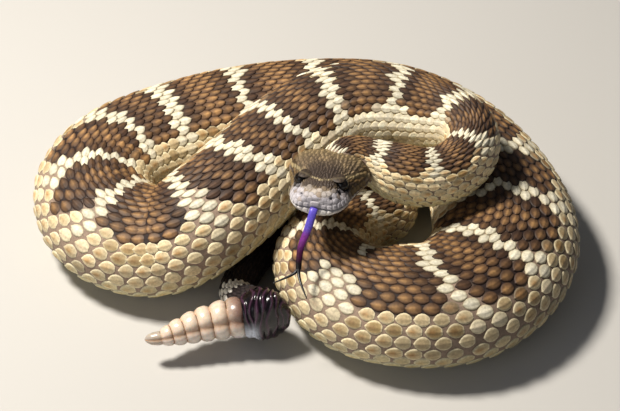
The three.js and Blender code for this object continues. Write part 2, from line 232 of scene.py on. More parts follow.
def smooth(x, lo, hi):
    """0 below lo and 1 above hi, with a soft rise between."""
    t = np.clip((np.asarray(x, float) - lo) / (hi - lo), 0, 1)
    return t * t * (3 - 2 * t)


def between(x, a, b, c, d):
    """1 from b to c, with a soft rise from a and a soft fall to d."""
    return smooth(x, a, b) * (1 - smooth(x, c, d))


def bell(x, width):
    return np.exp(-(x / width) ** 2)


def mix(a, b, t):
    """Blend of two colours by a share for each place."""
    t = np.asarray(t, float)[..., None]
    return a * (1 - t) + b * t


def mix_kind(a, b, t):
    return mix(a, b, t[..., None])


def unit(v):
    return v / np.linalg.norm(v, axis=-1, keepdims=True)


def circle(count, start=0.0):
    """Angles evenly round a circle."""
    return np.linspace(start, start + 2 * np.pi, count, endpoint=False)


def running_length(points):
    """Distance along a line of points, from its first."""
    return np.r_[0, np.cumsum(np.linalg.norm(np.diff(points, axis=0), axis=1))]


class Spline:
    """Natural cubic spline through rows; the first three columns set the spacing."""

    def __init__(self, rows):
        self.rows = np.array(rows, float)
        gaps = np.linalg.norm(np.diff(self.rows[:, :3], axis=0), axis=1)
        self.t = np.r_[0, np.cumsum(np.sqrt(gaps))]
        self.end = self.t[-1]
        h = np.diff(self.t)
        left = np.eye(len(self.rows))
        for i in range(1, len(h)):
            left[i, i - 1:i + 2] = h[i - 1], 2 * (h[i - 1] + h[i]), h[i]
        right = np.zeros_like(self.rows)
        right[1:-1] = 6 * np.diff(np.diff(self.rows, axis=0) / h[:, None], axis=0)
        self.bend = np.linalg.solve(left, right)

    def at(self, u):
        u = np.clip(np.atleast_1d(np.asarray(u, float)), 0, self.end)
        i = np.clip(np.searchsorted(self.t, u, side="right") - 1, 0, len(self.t) - 2)
        h = (self.t[i + 1] - self.t[i])[:, None]
        a = (self.t[i + 1] - u)[:, None] / h
        b = (u - self.t[i])[:, None] / h
        curve = (a ** 3 - a) * self.bend[i] + (b ** 3 - b) * self.bend[i + 1]
        return a * self.rows[i] + b * self.rows[i + 1] + curve * h * h / 6


# The body line, sampled evenly
body_spline = Spline(list(BODY.values()))
fine = body_spline.at(np.linspace(0, body_spline.end, 9000))
fine_lift = np.maximum(0, fine[:, 2])
fine_centre = np.c_[fine[:, :2], fine_lift + fine[:, 4]]
fine_s = running_length(fine_centre)
fine_table = np.c_[fine_centre, fine[:, 3:5], fine_lift]
TOTAL = fine_s[-1]
LINE_STEP = 0.25
line_s = np.arange(0, TOTAL, LINE_STEP)
line_table = np.stack([np.interp(line_s, fine_s, values) for values in fine_table.T], 1)
line = line_table[:, :3]
line_a, line_b, line_lift = line_table[:, 3:].T

# Its direction, level where it rests on the ground and evened out over a short stretch
along = unit(np.gradient(line, axis=0))
along[:, 2] *= smooth(line_lift, 0, 4)
EVEN_REACH = 16
even = np.ones(2 * EVEN_REACH + 1) / (2 * EVEN_REACH + 1)
padded = np.pad(along, ((EVEN_REACH, EVEN_REACH), (0, 0)), mode="edge")
along = unit(np.stack([np.convolve(values, even, "valid") for values in padded.T], 1))
line_side = unit(np.cross(along, [0, 0, 1.0]))
line_frames = np.c_[line, line_side, np.cross(line_side, along), line_a, line_b]


def body_frame(s):
    """Centre, directions to the side and up, half width and half height."""
    f = np.clip(np.asarray(s, float) / LINE_STEP, 0, len(line_s) - 1.001)
    i = f.astype(int)
    w = (f - i)[..., None]
    row = line_frames[i] * (1 - w) + line_frames[i + 1] * w
    return row[..., :3], row[..., 3:6], row[..., 6:9], row[..., 9], row[..., 10]


def cut_height(c):
    """Height on the cross-section from the angle's cosine: round above, fuller below."""
    return np.where(c > 0, c, -np.minimum(1, 1.08 * np.abs(c) ** 0.9))


def body_point(s, phi):
    """Point and normal on the body's skin. phi 0 is the back."""
    centre, side, up, a, b = body_frame(s)
    height = cut_height(np.cos(phi))
    x = (a - SKIN_DEPTH) * np.sin(phi)
    z = (b - SKIN_DEPTH) * height
    normal = unit(side * (np.sin(phi) / a)[..., None] + up * (height / b)[..., None])
    return centre + side * x[..., None] + up * z[..., None], normal


# The head's own axes: back from the snout, to the right of the picture, and up
level_back = np.array([math.cos(HEAD_YAW), math.sin(HEAD_YAW), 0.0])
head_back = level_back * math.cos(HEAD_PITCH) - [0, 0, math.sin(HEAD_PITCH)]
head_right = np.array([math.sin(HEAD_YAW), -math.cos(HEAD_YAW), 0.0])
head_axes = np.stack([head_back, head_right, np.cross(head_right, head_back)])
head_spline = Spline(np.insert(HEAD, [1, 1], 0, axis=1))
head_table = head_spline.at(np.linspace(0, head_spline.end, 600))


def head_world(local):
    return HEAD_TIP + local @ head_axes


def head_local(p):
    return (p - HEAD_TIP) @ head_axes.T


def back_side_up(local):
    """Distances behind the snout and from the head's middle, and height."""
    return local[..., 0], np.abs(local[..., 1]), local[..., 2]


def head_inside(local, out):
    """True where a point (back, right, up) lies inside the head grown by out mm."""
    back, side, up = back_side_up(local)
    w, top, bottom, lean = (
        np.interp(back, head_table[:, 0], head_table[:, k]) for k in (3, 4, 5, 6))
    limit = np.where(up > 0, top, bottom) + out
    c = np.clip(np.abs(up) / limit, 0, 1) ** 1.25
    s = np.sqrt(1 - c * c)
    half = (w + out) * s ** 0.8
    half = half * np.where(up > 0, 1 - lean * c ** 0.6, 1 - 0.12 * c)
    ends = (back > -out) & (back < HEAD[-1][0] + out)
    return ((side < half) & (np.abs(up) < limit) & ends) | (brow_distance(local, out) < 1)


def brow_size(way):
    """Half sizes of the shield over the eye, flat below, longer behind."""
    return np.where(way > 0, BROW_BACK_OUT_TOP, BROW_FRONT_IN_UNDER)


def brow_distance(local, out):
    """Below 1 inside the shield over either eye."""
    near = np.stack(back_side_up(local), -1) - BROW_CENTRE
    return np.linalg.norm(near / (brow_size(near) + out), axis=-1)


def march(origin, ray):
    """Where rays from inside the head meet its skin, before any dents."""
    lo = np.zeros(ray.shape[:-1])
    hi = np.full(ray.shape[:-1], HEAD_SPAN)
    for _ in range(26):
        mid = (lo + hi) / 2
        within = head_inside(origin + ray * mid[..., None], HEAD_INSET)
        lo = np.where(within, mid, lo)
        hi = np.where(within, hi, mid)
    return origin + ray * lo[..., None]


def feature_distances(local):
    """Distances from the eye, the nostril and the pit on the same side of the head."""
    back, _, up = back_side_up(local)
    eye = np.hypot(back - EYE[0], up - EYE[2])
    nostril = np.linalg.norm(np.stack(back_side_up(local), -1) - NOSTRIL, axis=-1)
    pit = np.hypot(back - PIT_BACK, up - PIT_UP)
    return eye, nostril, pit


def head_dent(local):
    """Millimetres pushed in at sockets, nostrils, pits and the line of the mouth."""
    back, side, up = back_side_up(local)
    eye, nostril, pit = feature_distances(local)
    near_side = smooth(side, 6.5, 8)
    dent = 1.3 * (1 - smooth(eye, 1.9, 3.0)) * near_side
    dent += 0.8 * bell(np.hypot(back - 9.4, up - 5.2), 1.9) * near_side
    dent += 1.7 * bell(nostril, 0.75)
    dent += 2.2 * bell(pit, 1.0) * smooth(side, 7, 9)
    dent += 0.7 * bell(up - MOUTH_UP, 0.28) * (1 - smooth(back, MOUTH_END - 2, MOUTH_END))
    return dent


def dented(ray):
    """Point of the head's skin along a ray from its middle, dents included."""
    local = march(HEAD_MIDDLE, ray)
    return local - ray * head_dent(local)[..., None]


def head_level(turn, up):
    """Point of the head's skin at one height, turned from the snout."""
    turn, up = np.broadcast_arrays(turn, up)
    ray = np.stack([-np.cos(turn), np.sin(turn), 0 * turn], -1)
    origin = np.stack([0 * up + HEAD_MIDDLE[0], 0 * up, up], -1)
    return march(origin, ray)


def noise(p, size, seed):
    """Cheap smooth noise from sines, -1 to 1."""
    q = p / size * 6.283
    r = np.random.default_rng(seed)
    total = 0
    for _ in range(5):
        way = r.normal(size=3)
        total = total + np.sin(q @ way * 0.6 + r.uniform(0, 6.28))
    return total / 5


def dappled(grain, lo, hi, tone, other):
    """One colour where the grain is low, another where it is high."""
    return mix(rgb(*tone), rgb(*other), smooth(grain, lo, hi))


def head_colour(local):
    """Colour of the head's scales at a point."""
    back, side, up = back_side_up(local)
    grain = noise(local, 2.6, 3)

    # Crown, darker between the eyes, with a pale cross line in front of them
    crown = dappled(grain, 0.0, 0.5, (104, 88, 68), (134, 114, 86))
    crown = mix(crown, rgb(142, 122, 88), smooth(back, 24, 34))
    crown = mix(crown, rgb(58, 47, 42), 0.85 * between(back, 3.5, 6, 17, 26) * (1 - smooth(side, 5, 9)))
    snout = dappled(grain, 0.0, 0.4, (168, 157, 146), (142, 124, 102))
    snout_end = 4.2 + 0.28 * side + 0.4 * grain
    crown = mix(crown, snout, 1 - smooth(back, snout_end - 0.6, snout_end + 0.6))

    # Sides: greyish in front, brown behind, with painted shade round and below the eye
    cheek = dappled(grain, -0.1, 0.35, (98, 76, 46), (62, 46, 32))
    muzzle = dappled(grain, 0.1, 0.5, (178, 173, 178), (156, 142, 134))
    flank = mix(muzzle, cheek, smooth(back + 0.35 * (up - 3), 9.6, 12.4))
    shadow = bell(np.hypot((back - 12.0) / 3.2, (up - 4.6) / 4.0), 1.0)
    flank = mix(flank, rgb(26, 19, 16), np.clip(1.3 * shadow, 0, 1))

    c = mix(flank, crown, smooth(up, 4.6, 6.4))
    lips = (1 - smooth(up, 1.6, 2.8)) * (1 - 0.85 * smooth(back, 11, 15))
    c = mix(c, rgb(186, 181, 184), lips)
    stripe = bell(up - (7.2 - 0.36 * (back - 15.5)), 0.8)
    stripe = stripe * between(back, 13.5, 15.5, 29, 32) * smooth(side, 8, 10)
    c = mix(c, rgb(180, 162, 120), stripe * 0.5)
    cross = bell(back - 9.4 - 0.40 * side, 0.45) * smooth(up, 6.5, 7.6)
    c = mix(c, rgb(186, 168, 130), cross * (0.5 + 0.3 * grain))
    chin = (1 - smooth(up, -2.4, -1.2)) * (1 - 0.45 * smooth(back, 16, 26))
    return mix(c, rgb(232, 226, 216), chin)


# Columns of scales along the body
scale_size = SCALE_LENGTH * ((line_a + line_b) / 50.0) ** 0.45
column_at = np.r_[0, np.cumsum(LINE_STEP / scale_size)][:-1]
COLUMNS = int(column_at[-1])


def column_of(s):
    return np.interp(s, line_s, column_at)


def place_of(column):
    return np.interp(column, column_at, line_s)


def size_at(s):
    return np.interp(s, line_s, scale_size)


band_column = column_of(BANDS)
band_lean = np.array([BAND_LEAN.get(place, 0) for place in BANDS]) / SCALE_LENGTH
ring_column = column_of(WHITE_RINGS)
ringed_from = column_of(RINGS_FROM)

# Distance round the body from the middle of the back, as a share of the way to the belly
round_phi = np.linspace(0, BELLY_EDGE, 400)
round_share = running_length(
    np.c_[MID_BODY[0] * np.sin(round_phi), MID_BODY[1] * cut_height(np.cos(round_phi))])
round_share /= round_share[-1]


def rank_angle(rank):
    """Angle at a share of the rows, which are narrow on the back and wider below."""
    return np.interp(ROW_EVEN * rank + (1 - ROW_EVEN) * rank ** 2, round_share, round_phi)


def angle_rank(phi):
    """Share of the rows above an angle."""
    share = np.interp(np.abs(phi), round_phi, round_share)
    root = np.sqrt(ROW_EVEN ** 2 + 4 * (1 - ROW_EVEN) * share)
    return (root - ROW_EVEN) / (2 - 2 * ROW_EVEN)


def row_angles(count):
    """Each row's share of the way round, -1 to 1, its angle and its width in angle."""
    half = count / 2
    rows = np.arange(count) - (count - 1) / 2
    angle = rank_angle(np.abs(rows) / half) * np.sign(rows)
    edge = rank_angle(np.minimum(1, (np.abs(rows) + 0.5) / half))
    inner = rank_angle(np.maximum(0, np.abs(rows) - 0.5) / half)
    return rows / half, angle, (edge - inner) * np.where(rows == 0, 2.0, 1.0)


def band_offset(column, turned, s):
    """Columns to the nearest pale band, and how far down the flank the blotch reaches."""
    outer = np.maximum(0, -turned) * np.ones(column.shape)
    gap = column[..., None] - band_column + band_lean * outer[..., None]
    nearest = np.argmin(np.abs(gap), -1)
    off = np.take_along_axis(gap, nearest[..., None], -1)[..., 0]
    later = np.clip(np.searchsorted(band_column, column), 1, len(band_column) - 1)
    period = np.diff(band_column)[later - 1]
    inside = np.clip(np.abs(off) / (period / 2), 0, 1)
    broken = (nearest == BROKEN_BAND) & (turned > BROKEN_SPAN[0]) & (turned < BROKEN_SPAN[1])
    off = np.where(broken, 3.0, off)
    inside = np.where(broken, 1.0, inside)
    reach = np.interp(s, *BLOTCH_REACH.T)
    # the blotches reach further down the right coil's inner flank, in part as painted shade beside the
    # crotch
    reach = reach + 0.25 * between(s, *DEEP_BLOTCHES_AND_SHADE) * (turned > 0)
    return off, reach * (1 - 0.42 * (1 - inside) ** 2.2)


def upper_flank(s):
    """1 along the upper coil, whose flank is the palest, partly its own cream and partly painted light.
    """
    return between(s, *UPPER_COIL)


def shaded_right_flank(turned, s):
    """1 on the outer flank of the right coil, darkened partly for its browner scales and partly with
    painted shade.
    """
    return between(s, *RIGHT_COIL) * smooth(-turned, 0.3, 0.55)


def body_pattern(column, turned, s, jitter):
    """The three colours of each scale. turned runs from -1 to 1 round the back."""
    rank = np.abs(turned)
    off, reach = band_offset(column, turned, s)
    reach = reach + 0.042 * jitter[:, 0]
    upper = upper_flank(s)

    # Flanks: paler towards the belly, some scales without a spot, freckled below the blotches; painted
    # light on the upper coil's flank and the neck, painted shade on the right coil's outer flank
    c = mix_kind(TAN, LOW, smooth(rank, 0.66, 0.98) * 0.8)
    spotless = c[:, [0, 1, 1]]
    c = mix_kind(c, spotless, np.clip(0.45 + 0.55 * jitter[:, 3], 0, 1))
    # partly painted light: the upper coil's flank is turned to a cream brighter than the bands'
    c = mix_kind(c, 1.45 * CREAM, 0.9 * upper)
    fade_out = np.where(s > 575, 0.42, 0.2)
    freckle = np.clip(1 - (rank - reach) / fade_out, 0, 1) * np.clip(0.7 + 0.7 * jitter[:, 0], 0, 1)
    freckle = freckle * smooth(np.abs(off), 0.8, 1.4) * (1 - upper)
    c = mix_kind(c, FRECKLED, 0.95 * freckle)
    # painted light: the neck's scales are lightened
    neck = 1 - smooth(s, 60, 85)
    # painted shade on the right coil's outer flank
    c = c * (1 - 0.36 * shaded_right_flank(turned, s) + 0.25 * neck)[:, None, None]

    # Blotches: darker beside the bands, lighter at their lower ends, lightened with painted light on
    # the rear coil
    brown = BROWN * (1 + 0.25 * between(s, *REAR_COIL))[:, None, None]
    beside = 1 - smooth(np.abs(off), 1.3, 2.6)
    brown = mix_kind(brown, DARK, np.clip(beside * 0.9 + 0.15 * jitter[:, 4], 0, 1))
    brown = mix_kind(brown, 1.3 * BROWN, smooth(rank, reach - 0.12, reach) * 0.5)
    c = mix_kind(c, brown, smooth(reach - rank, -0.02, 0.012))

    # Bands: cream on the back, and some darker scales in line with them on the flanks
    cluster = (np.abs(column - band_column[BROKEN_BAND]) < 1.6) & (turned < -0.2)
    in_band = (np.abs(off) < BAND_HALF + 0.16 * jitter[:, 1]) | cluster
    pale = in_band & (rank < 0.6)
    c = mix_kind(c, CREAM, pale * (1 - 0.7 * smooth(rank, 0.44, 0.6)))
    spot = in_band & (rank > 0.68) & (rank < 0.9) & (jitter[:, 5] > 0.1)
    c = c * np.where(spot, 0.72, 1.0)[:, None, None]

    # Tail: white rings on black
    off_ring = np.min(np.abs(column[:, None] - ring_column), -1)
    ring = np.where((off_ring < RING_HALF)[:, None, None], WHITE, BLACK)
    c = np.where((column > ringed_from)[:, None, None], ring, c)
    return np.clip(c * (1 + 0.15 * jitter[:, 2])[:, None, None], 0, 1)


def skin_pattern(column, phi, s):
    """Colour of the bare skin between the scales."""
    rank = angle_rank(phi)
    turned = rank * np.sign(phi)
    off, reach = band_offset(column, turned, s)
    blotch = smooth(reach - rank, -0.03, 0.03) * smooth(np.abs(off), 0.6, 1.2)
    # paler skin on the upper coil's flank, partly painted light
    pale = mix(SKIN_PALE, SKIN_UPPER, upper_flank(s))
    pale = mix(pale, SKIN_UPPER, between(s, *INWARD_SIDE) * smooth(phi, 1.2, 1.7))
    c = mix(pale, SKIN_DARK, blotch)
    c = mix(c, SKIN_LOW, smooth(rank, 0.8, 1.0))
    # painted shade on the skin of the right coil's outer flank
    c = c * (1 - 0.36 * shaded_right_flank(turned, s))[..., None]
    c = mix(c, BELLY * 0.8, smooth(np.abs(phi), BELLY_EDGE, BELLY_EDGE + 0.2))
    return mix(c, rgb(40, 30, 28), smooth(column, ringed_from - 2, ringed_from))


# Mesh making
def make_piece(name, slot, material, points, faces, colour, uv=None):
    """One object of the model, from the places and colours of its points."""
    mesh = bpy.data.meshes.new(name)
    points = (np.reshape(points, (-1, 3)) + SHIFT) * 0.001
    faces = np.asarray(faces, np.int32)
    mesh.vertices.add(len(points))
    mesh.vertices.foreach_set("co", points.astype(np.float32).ravel())
    mesh.loops.add(faces.size)
    mesh.loops.foreach_set("vertex_index", faces.ravel())
    mesh.polygons.add(len(faces))
    mesh.polygons.foreach_set("loop_start", np.arange(0, faces.size, 4, dtype=np.int32))
    mesh.polygons.foreach_set("use_smooth", np.ones(len(faces), bool))
    if uv is not None:
        layer = mesh.uv_layers.new(name="OFBake")
        corners = np.reshape(uv, (-1, 2))[faces.ravel()]
        layer.data.foreach_set("uv", corners.astype(np.float32).ravel())
    tint = mesh.attributes.new("tint", "FLOAT_COLOR", "POINT")
    full = np.c_[np.reshape(colour, (-1, 3)), np.ones(len(points))]
    tint.data.foreach_set("color", full.astype(np.float32).ravel())
    mesh.update()
    mesh.validate()
    obj = bpy.data.objects.new(name, mesh)
    bpy.context.scene.collection.objects.link(obj)
    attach(obj, "root")
    mesh.materials.append(material)
    return obj


def grid_faces(rows, columns, wrap=False):
    """Quads of a grid of points; wrap closes it round."""
    i, j = np.meshgrid(np.arange(rows - 1), np.arange(columns if wrap else columns - 1), indexing="ij")
    here = i * columns
    after = here + columns
    turned = (j + 1) % columns
    return np.stack([here + j, here + turned, after + turned, after + j], -1).reshape(-1, 4)


def coat_piece(name, slot, material, points, colours, uv, rows):
    """One object of many separate scales, each a grid of points with the rows given."""
    count, per = points.shape[:2]
    faces = np.arange(count)[:, None, None] * per + grid_faces(rows, per // rows)
    make_piece(name, slot, material, points, faces.reshape(-1, 4), colours, uv)


def join(parts):
    """One mesh from several, each as points, faces and more values for the points."""
    columns = [list(column) for column in zip(*parts)]
    start = 0
    for number, points in enumerate(columns[0]):
        columns[1][number] = columns[1][number] + start
        start += len(points)
    return [np.concatenate(column) for column in columns]


# A scale's shape: leaf outline, keel, raised rear edge with a wall down to the skin
LEAF_U = np.array([0.0, 0.12, 0.3, 0.5, 0.7, 0.87, 0.97, 0.975])
LEAF_W = np.array([0.4, 0.72, 0.95, 1.0, 0.86, 0.56, 0.2, 0.2])
LEAF_V = np.array([-1.0, -0.92, -0.6, -0.2, 0.0, 0.2, 0.6, 0.92, 1.0])
PEBBLE_W = np.array([0.55, 0.82, 0.97, 1.0, 0.96, 0.8, 0.5, 0.5])


def leaf_template(keel, widths=LEAF_W, rise=0.62, dome=0.42, across=LEAF_V):
    """For a scale's corners: places along and across, height, body, spot, and painted shade on its
    walls.
    """
    u, v = np.meshgrid(LEAF_U, across, indexing="ij")
    bow = 0.06 * (1 - v ** 2) * smooth(u, 0.8, 1.0)
    high = (0.16 + rise * u ** 0.8) * (1 - dome * v ** 2)
    along_keel = np.sin(np.pi * np.clip(u * 0.92 + 0.06, 0, 1)) ** 0.7
    high = high + keel * bell(v, 0.13) * along_keel
    wall = (np.abs(v) > 0.95) | (u == LEAF_U[-1])
    high = np.where(wall, -0.45, high)
    body = smooth(1 - np.abs(v), 0.06, 0.32) * smooth(u, 0.0, 0.14) * smooth(1 - u, 0.02, 0.2)
    spot = bell(v, 0.36) * smooth(u, 0.2, 0.5) * smooth(1 - u, 0.04, 0.22)
    # painted shade: the walls down to the skin, under each scale's edge, are darkened
    painted_wall_shade = np.where(wall, 0.4, 1.0)
    return [part.ravel() for part in (u + bow, v * widths[:, None], high, body, spot, painted_wall_shade)]


def leaf_colours(shade, template, soft=0.0):
    """Colours of every corner from each scale's rim, body and spot, with painted shade on its walls;
    soft lessens that shade.
    """
    body, spot, painted_wall_shade = (part[None, :, None] for part in template[3:])
    c = shade[:, None, 0] * (1 - body) + shade[:, None, 1] * body
    c = c * (1 - spot) + shade[:, None, 2] * spot
    return c * (1 - (1 - painted_wall_shade) * (1 - np.reshape(soft, (-1, 1, 1))))


def patch_uv(root, u, v):
    """A small patch of the bake map for each scale, at its root."""
    return root[:, None] + np.stack([(u - 0.5) * 0.003, v * 0.0015], -1)


def body_root(s, phi):
    """Place on the unrolled skin of the body."""
    return np.stack([0.01 + 0.98 * s / TOTAL, 0.5 + phi / (2 * np.pi) * 0.98], -1)


def head_root(local):
    """Place on the unwrapped head: turn from the snout, and rise."""
    turn = np.arctan2(local[..., 1], -(local[..., 0] - HEAD_MIDDLE[0]))
    rise = np.arctan2(local[..., 2], np.hypot(local[..., 0] - HEAD_MIDDLE[0], local[..., 1]))
    return np.stack([0.5 + 0.49 * turn / np.pi, 0.5 + 0.49 * rise / (np.pi / 2)], -1)


# Materials
def set_inputs(node, values):
    for name, value in values.items():
        node.inputs[name].default_value = value


def tint_material(name, roughness, grain, bump, gloss, coat=0.0, low=0.76, high=1.18):
    """Colour from the mesh, broken up by fine grain, with a fine bump."""
    mat = bpy.data.materials.new(name)
    mat.use_nodes = True
    nodes = mat.node_tree.nodes
    shader = nodes["Principled BSDF"]
    set_inputs(shader, {
        "Specular IOR Level": gloss, "Coat Weight": coat, "Coat Roughness": 0.15})

    def add(kind, values):
        node = nodes.new("ShaderNode" + kind)
        set_inputs(node, values)
        return node

    def link(source, output, target, socket):
        mat.node_tree.links.new(source.outputs[output], target.inputs[socket])

    tint = add("Attribute", {})
    tint.attribute_name = "tint"
    place = add("TexCoord", {})
    coarse = add("TexNoise", {"Scale": grain, "Detail": 6})
    fine_noise = add("TexNoise", {"Scale": grain * 3, "Detail": 4})
    span = add("MapRange", {"From Min": 0.3, "From Max": 0.7, "To Min": low, "To Max": high})
    rough = add("MapRange", {"To Min": roughness - 0.1, "To Max": roughness + 0.12})
    relief = add("Bump", {"Strength": bump, "Distance": 0.0002})
    blend = add("Mix", {})
    blend.data_type = "RGBA"
    blend.blend_type = "MULTIPLY"
    set_inputs(blend, {"Factor": 1.0})
    link(place, "Object", coarse, "Vector")
    link(place, "Object", fine_noise, "Vector")
    link(coarse, "Fac", span, "Value")
    link(coarse, "Fac", rough, "Value")
    link(fine_noise, "Fac", relief, "Height")
    link(tint, "Color", blend, "A")
    link(span, "Result", blend, "B")
    link(blend, "Result", shader, "Base Color")
    link(rough, "Result", shader, "Roughness")
    link(relief, "Normal", shader, "Normal")
    return mat


scale_mat = tint_material("snake_scales", 0.56, 900, 0.35, gloss=0.3)
skin_mat = tint_material("snake_skin", 0.62, 1200, 0.6, gloss=0.3)
head_mat = tint_material("head_scales", 0.55, 1300, 0.45, gloss=0.38)
tongue_mat = tint_material("tongue_wet", 0.38, 1500, 0.2, gloss=0.25, coat=0.08)
rattle_mat = tint_material("rattle_horn", 0.26, 500, 0.12, gloss=0.5, coat=0.3, low=0.92, high=1.06)
dark_horn_mat = tint_material("rattle_horn_dark", 0.24, 500, 0.12, gloss=0.35, coat=0.25)
eye_mat = tint_material("eye_glass", 0.14, 3000, 0.0, gloss=0.25, coat=0.25)
set_inputs(rattle_mat.node_tree.nodes["Principled BSDF"], {
    "Subsurface Weight": 0.25, "Subsurface Radius": (0.004, 0.002, 0.001), "Subsurface Scale": 1.0})


# One skin for neck, body, tail and head
def body_skin():
    s = np.linspace(0, TOTAL, 620)
    phi = circle(112, -np.pi)
    ss, pp = np.meshgrid(s, phi, indexing="ij")
    points, _ = body_point(ss, pp)
    colour = skin_pattern(column_of(ss), pp, ss)
    return points.reshape(-1, 3), grid_faces(*ss.shape, wrap=True), colour.reshape(-1, 3)


def head_skin():
    turn = circle(260, -np.pi)
    rise = np.linspace(-np.pi / 2, np.pi / 2, 150)
    rr, tt = np.meshgrid(rise, turn, indexing="ij")
    local = dented(np.stack([-np.cos(tt) * np.cos(rr), np.sin(tt) * np.cos(rr), np.sin(rr)], -1))
    pale = 1 - smooth(local[..., :1], 8, 12)
    colour = head_colour(local) * (0.55 + 0.33 * pale)
    # painted shade: the skin darkens with the depth of its dents at sockets, nostrils, pits and the
    # mouth line
    colour = mix(colour, rgb(20, 14, 12), np.clip(head_dent(local) / 1.2, 0, 1))
    points = head_world(local)
    return points.reshape(-1, 3), grid_faces(*rr.shape, wrap=True), colour.reshape(-1, 3)


skin = make_piece("skin", "body_skin", skin_mat, *join([body_skin(), head_skin()]))
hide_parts("head", "jaw", *LENGTHS)

# Scales of neck, body and tail
LEAF = leaf_template(0.42)


def place_leaves(s, phi, length, half_width, stretch, arc, height, turn):
    """Corners of scales laid on the body's skin, each round its own place."""
    u, v, high = LEAF[:3]
    lengthways = (u - 0.42) * length[:, None]
    across = v * half_width[:, None]
    x = lengthways - across * turn[:, None]
    y = across + lengthways * turn[:, None]
    base, normal = body_point(s[:, None] + x / stretch[:, None], phi[:, None] + y / arc[:, None])
    return base + normal * (high * height[:, None])[..., None]


def scale_rows(first, last, count):
    """Corners, colours and uv of the scales between two columns."""
    turned, angle, width = row_angles(count)
    column, row = np.meshgrid(np.arange(first, last), np.arange(count), indexing="ij")
    column = (column + 0.5 * (row % 2)).ravel()
    row = row.ravel()
    s = place_of(column)
    phi = angle[row]
    rank = np.abs(turned[row])
    wobble = rng.uniform(-1, 1, (len(column), 6))
    size = size_at(s)

    def skin_span(ds, dphi):
        """Distance on the skin between a step before and a step after each scale."""
        before, _ = body_point(s - ds, phi - dphi)
        after, _ = body_point(s + ds, phi + dphi)
        return np.linalg.norm(after - before, axis=-1)

    stretch = np.clip(skin_span(0.6, 0) / 1.2, 0.16, 2.2)
    arc = skin_span(0, 0.02) / 0.04
    give = np.where(stretch > 1, stretch ** 0.1, stretch ** 0.92)
    length = (1.20 - 0.02 * rank) * size * give * (1 + 0.05 * wobble[:, 0])
    # Inside tight bends one longer scale stands for two
    merged = stretch < 0.5
    length = np.where(merged, 2.6 * size * stretch, length)
    s = np.where(merged, s + 0.5 * size * (row % 2), s)
    half_width = 0.63 * width[row] * arc * (1 + 0.05 * wobble[:, 1])
    height = (SKIN_DEPTH - SCALE_TOP) * np.clip(size / SCALE_LENGTH, 0.6, 1) * (1 + 0.1 * wobble[:, 2])
    height = height * np.clip(stretch / 0.8, 0.4, 1)
    height = height * (1 - 0.5 * upper_flank(s) * smooth(rank, 0.5, 0.6))
    points = place_leaves(
        s + 0.08 * size * wobble[:, 3] / stretch, phi, length, half_width, stretch, arc, height,
        0.05 * wobble[:, 4])
    shade = body_pattern(column, turned[row], s, wobble)
    colours = leaf_colours(shade, LEAF, 0.8 * upper_flank(s) * smooth(rank, 0.45, 0.6))
    uv = patch_uv(body_root(s, phi), *LEAF[:2])
    keep = ~head_inside(head_local(points.mean(1)), 0.0)
    keep &= ~merged | (np.floor(column) % 2 == 0)
    return points[keep], colours[keep], uv[keep], len(LEAF_U)


TAIL_COLUMN = int(column_of(TAIL_FROM))
cuts = [2, 40, 80, 118, TAIL_COLUMN]
for number in range(len(cuts) - 1):
    scales = scale_rows(cuts[number], cuts[number + 1], ROWS)
    coat_piece(f"body_scales_{number + 1}", "body_skin", scale_mat, *scales)
coat_piece("tail_scales", "tail_skin", scale_mat, *scale_rows(TAIL_COLUMN, COLUMNS - 1, TAIL_ROWS))


# Wide scales under the belly
def belly_scales():
    column = np.arange(3, COLUMNS - 1).astype(float)
    s = place_of(column)
    steps = np.array([0.0, 0.3, 0.6, 0.9, 1.0, 0.99])
    u, v = (part.ravel() for part in np.meshgrid(steps, np.linspace(-1, 1, 15), indexing="ij"))
    ss = s[:, None] + (u - 0.5) * 1.25 * size_at(s)[:, None]
    pp = np.pi + v * (np.pi - BELLY_EDGE + 0.1) + 0 * ss
    base, normal = body_point(ss, pp)
    high = (0.15 + 0.75 * u) * (SKIN_DEPTH - SCALE_TOP) * (1 - 0.4 * v ** 6)
    high = np.where(u == steps[-1], -0.2, high)
    points = base + normal * high[:, None]
    shade = 1 + 0.06 * rng.uniform(-1, 1, (len(s), 1, 1))
    dark = smooth(column, ringed_from - 1, ringed_from)[:, None, None]
    colour = mix(BELLY, TAN[1], 0.25 * u) * shade * (1 - dark) + rgb(120, 108, 96) * dark
    uv = patch_uv(body_root(s, 0 * s), u, v)
    keep = ~head_inside(head_local(points.mean(1)), 0.0)
    coat_piece(
        "belly_scales", "body_skin", scale_mat, points[keep], colour[keep], uv[keep], len(steps))


belly_scales()


# Small scales over the head: keeled ones, and smooth plates on the muzzle and under the jaw
def on_muzzle(local):
    back, side, up = back_side_up(local)
    return (back < 4.4 + 0.28 * side) | ((up < 5.2) & (back < 11.5))


def head_grain(local):
    """Distance wanted between scales, and whether a place takes small scales at all."""
    back, side, up = back_side_up(local)
    eye, nostril, pit = feature_distances(local)
    on_brow = brow_distance(local, 0.1) < 1
    gap = 1.08 + 0.75 * smooth(back, 15, 32) + 0.4 * smooth(side, 9, 14)
    gap = np.where(on_muzzle(local), 2.0, gap)
    gap = np.where(up < -2, 2.5, gap)
    gap = np.where(on_brow, 1.0, gap)
    on_lips = (np.abs(up - MOUTH_UP) < 2.75) & (back < MOUTH_END + 0.5)
    on_tip_plate = (side < 2.2) & (np.abs(up - 0.5) < 4.0) & (back < 3)
    clear = (eye > 3.1) | (side < 6)
    clear &= (pit > 1.5) | (side < 7)
    clear &= (nostril > 1.3) & ~on_lips & ~on_tip_plate
    clear &= ~on_brow | (up > 8.0)
    return gap, clear


